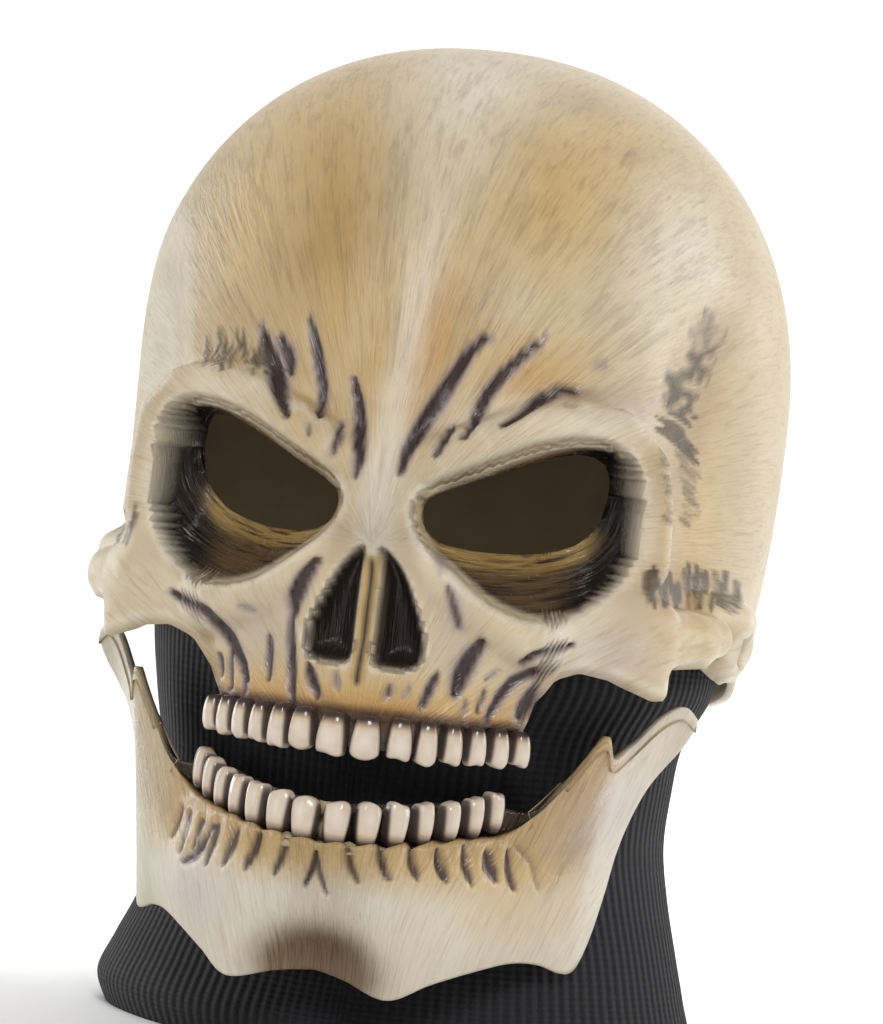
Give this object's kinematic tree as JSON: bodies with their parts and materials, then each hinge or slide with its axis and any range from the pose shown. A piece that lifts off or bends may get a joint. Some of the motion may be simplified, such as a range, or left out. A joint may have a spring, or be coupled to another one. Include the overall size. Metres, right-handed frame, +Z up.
{
  "type": "skull mask",
  "caption": "Hollow full-head latex skull mask with open eye holes, separate toothed jaw and a black knitted neck tube that carries the jaw.",
  "frame": {"origin": "inside of the crown, where the top of the wearer's head touches the shell", "axes": "+Z up out of the crown, -Y the way the face looks, +X to the right as a viewer in front sees it"},
  "size_m": [0.1762, 0.227, 0.2662],
  "materials": {
    "latex_bone": "painted latex, satin, bone colour with ochre and brown shading",
    "tooth": "painted and varnished latex, glossy ivory",
    "knit": "black fine rib knit, matt"
  },
  "bodies": {
    "root": {"skull": "latex_bone", "jaw": "latex_bone", "neck_knit": "knit", "upper_tooth_right_1": "tooth", "upper_tooth_right_2": "tooth", "upper_tooth_right_3": "tooth", "upper_tooth_right_4": "tooth", "upper_tooth_right_5": "tooth", "upper_tooth_right_6": "tooth", "upper_tooth_right_7": "tooth", "upper_tooth_left_1": "tooth", "upper_tooth_left_2": "tooth", "upper_tooth_left_3": "tooth", "upper_tooth_left_4": "tooth", "upper_tooth_left_5": "tooth", "upper_tooth_left_6": "tooth", "upper_tooth_left_7": "tooth", "lower_tooth_right_1": "tooth", "lower_tooth_right_2": "tooth", "lower_tooth_right_3": "tooth", "lower_tooth_right_4": "tooth", "lower_tooth_right_5": "tooth", "lower_tooth_right_6": "tooth", "lower_tooth_right_7": "tooth", "lower_tooth_left_1": "tooth", "lower_tooth_left_2": "tooth", "lower_tooth_left_3": "tooth", "lower_tooth_left_4": "tooth", "lower_tooth_left_5": "tooth", "lower_tooth_left_6": "tooth", "lower_tooth_left_7": "tooth"}
  },
  "joints": []
}
